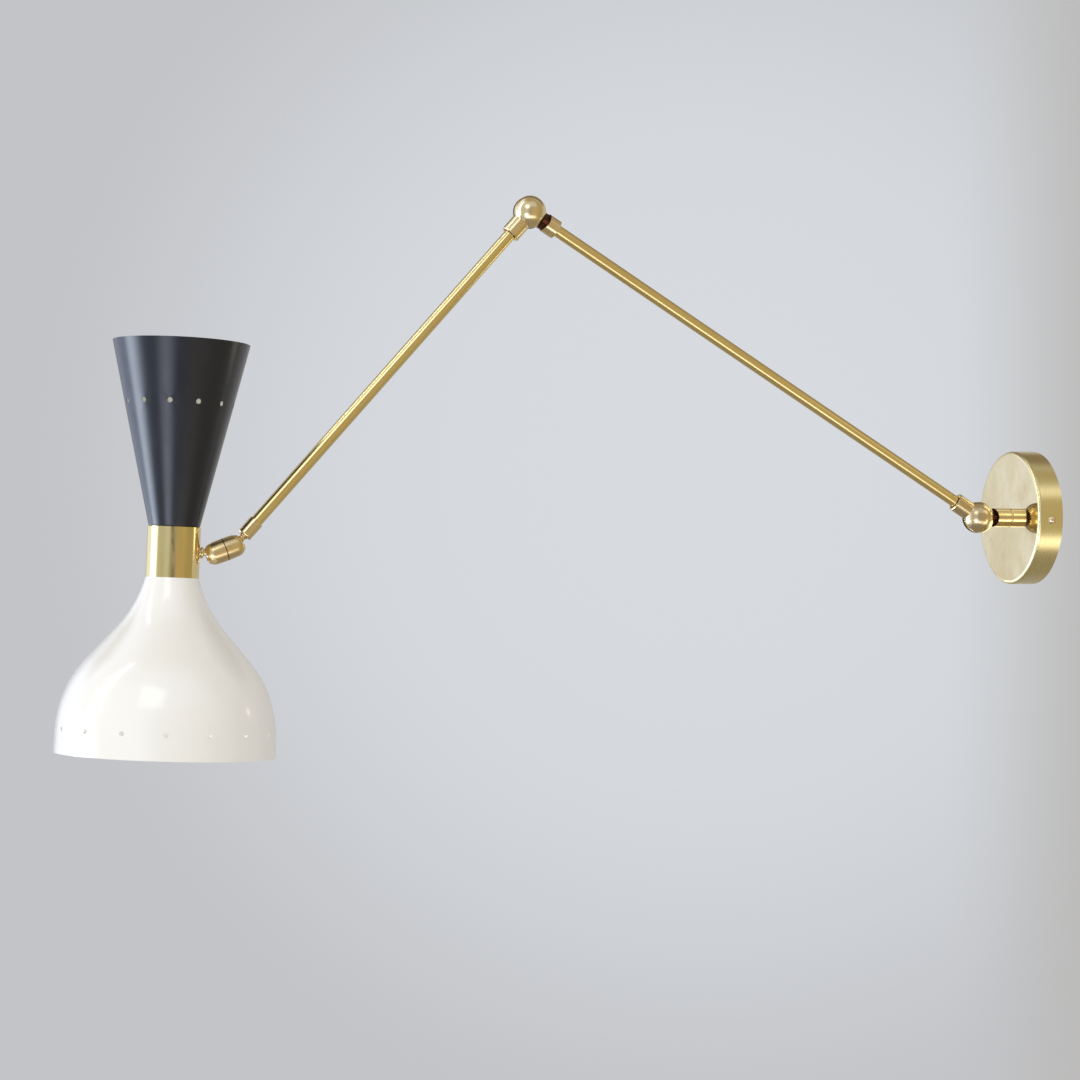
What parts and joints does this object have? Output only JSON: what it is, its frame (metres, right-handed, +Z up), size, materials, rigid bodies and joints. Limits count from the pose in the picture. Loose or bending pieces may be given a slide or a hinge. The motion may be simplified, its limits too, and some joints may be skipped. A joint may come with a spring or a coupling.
{
  "type": "articulated wall lamp",
  "caption": "Brass wall lamp: round canopy, two arms with slotted ball knuckles, a double ball swivel and a double shade, a black cone that opens up and a cream bell that opens down.",
  "frame": {"origin": "centre of the canopy's back, where the wall plate lies flat on the wall", "axes": "+X into the wall, +Z up, the arms reach out along -X in the XZ plane"},
  "size_m": [0.839, 0.1738, 0.4572],
  "materials": {
    "polished_brass": "polished, slightly cloudy",
    "turned_brass": "turned and satin polished",
    "barrel_brass": "satin, turned",
    "tube_brass": "drawn tube, polished and waxed",
    "band_brass": "mirror polished",
    "screw_brass": "plain machined",
    "plate_steel": "zinc plated",
    "terminal_ceramic": "glazed ceramic",
    "washer_plastic": "natural nylon",
    "wire_brown": "brown insulation",
    "holder_plastic": "moulded black phenolic",
    "black_enamel": "satin powder coat outside, cream inside",
    "cream_enamel": "glossy enamel"
  },
  "bodies": {
    "wall_mount": {"wall_canopy": "polished_brass", "canopy_screws": "screw_brass", "wall_plate": "plate_steel", "earth_screw": "screw_brass", "earth_washer": "screw_brass", "terminal_block": "terminal_ceramic", "terminal_screws": "screw_brass", "block_screws": "plate_steel", "supply_leads": "wire_brown", "stem_stiffening_plate": "plate_steel"},
    "stem": {"stem_seat_washer": "washer_plastic", "stem_nipple": "screw_brass", "stem_wave_washer": "plate_steel", "stem_lock_nut": "screw_brass", "stem_jam_nut": "screw_brass", "wall_tongue": "turned_brass", "stem_wires": "wire_brown"},
    "inner_arm": {"wall_ball": "turned_brass", "wall_pivot_screw": "screw_brass", "wall_friction_washers": "washer_plastic", "inner_arm_tube": "tube_brass", "inner_arm_wires": "wire_brown", "elbow_tongue": "turned_brass"},
    "outer_arm": {"elbow_ball": "turned_brass", "elbow_pivot_screw": "screw_brass", "elbow_friction_washers": "washer_plastic", "outer_arm_tube": "tube_brass", "outer_arm_wires": "wire_brown", "arm_end_collar": "turned_brass"},
    "arm_swivel_ball": {"arm_ball_stud": "turned_brass"},
    "swivel_barrel": {"barrel_arm_half": "barrel_brass", "barrel_head_half": "barrel_brass", "swivel_spacer": "washer_plastic"},
    "head_swivel_ball": {"head_ball_stud": "turned_brass"},
    "head": {"head_band": "band_brass", "head_hub": "screw_brass", "upper_nipple": "screw_brass", "lower_nipple": "screw_brass", "cone_shade": "black_enamel", "bell_shade": "cream_enamel", "upper_holder_cap": "holder_plastic", "upper_holder_skirt": "holder_plastic", "upper_contact_block": "terminal_ceramic", "upper_screw_shell": "screw_brass", "upper_centre_contact": "screw_brass", "lower_holder_cap": "holder_plastic", "lower_holder_skirt": "holder_plastic", "lower_contact_block": "terminal_ceramic", "lower_screw_shell": "screw_brass", "lower_centre_contact": "screw_brass", "holder_wires": "wire_brown"}
  },
  "joints": [
    {"name": "stem_turn", "type": "hinge", "parent": "wall_mount", "child": "stem", "pos_m": [0, 0, 0], "axis": [1, 0, 0], "range_deg": [-90, 90]},
    {"name": "wall_knuckle", "type": "hinge", "parent": "stem", "child": "inner_arm", "pos_m": [-0.051, 0, 0], "axis": [0, 1, 0], "range_deg": [-116.4, 53.6]},
    {"name": "elbow_knuckle", "type": "hinge", "parent": "inner_arm", "child": "outer_arm", "pos_m": [-0.45524, 0, 0.24675], "axis": [0, -1, 0], "range_deg": [-180.1, 19.9]},
    {"name": "arm_swivel_spin", "type": "hinge", "parent": "outer_arm", "child": "arm_swivel_ball", "pos_m": [-0.69786, 0, -0.02942], "axis": [-0.66, 0, -0.7513], "range_deg": [-150, 150]},
    {"name": "arm_swivel_tilt", "type": "hinge", "parent": "arm_swivel_ball", "child": "swivel_barrel", "pos_m": [-0.69786, 0, -0.02942], "axis": [0, 1, 0], "range_deg": [-27.8, 26]},
    {"name": "head_swivel_tilt", "type": "hinge", "parent": "swivel_barrel", "child": "head_swivel_ball", "pos_m": [-0.71374, 0, -0.03548], "axis": [0, -1, 0], "range_deg": [-30, 22.9]},
    {"name": "head_swivel_spin", "type": "hinge", "parent": "head_swivel_ball", "child": "head", "pos_m": [-0.71374, 0, -0.03548], "axis": [-0.9994, 0, 0.0349], "range_deg": [-150, 150]}
  ]
}
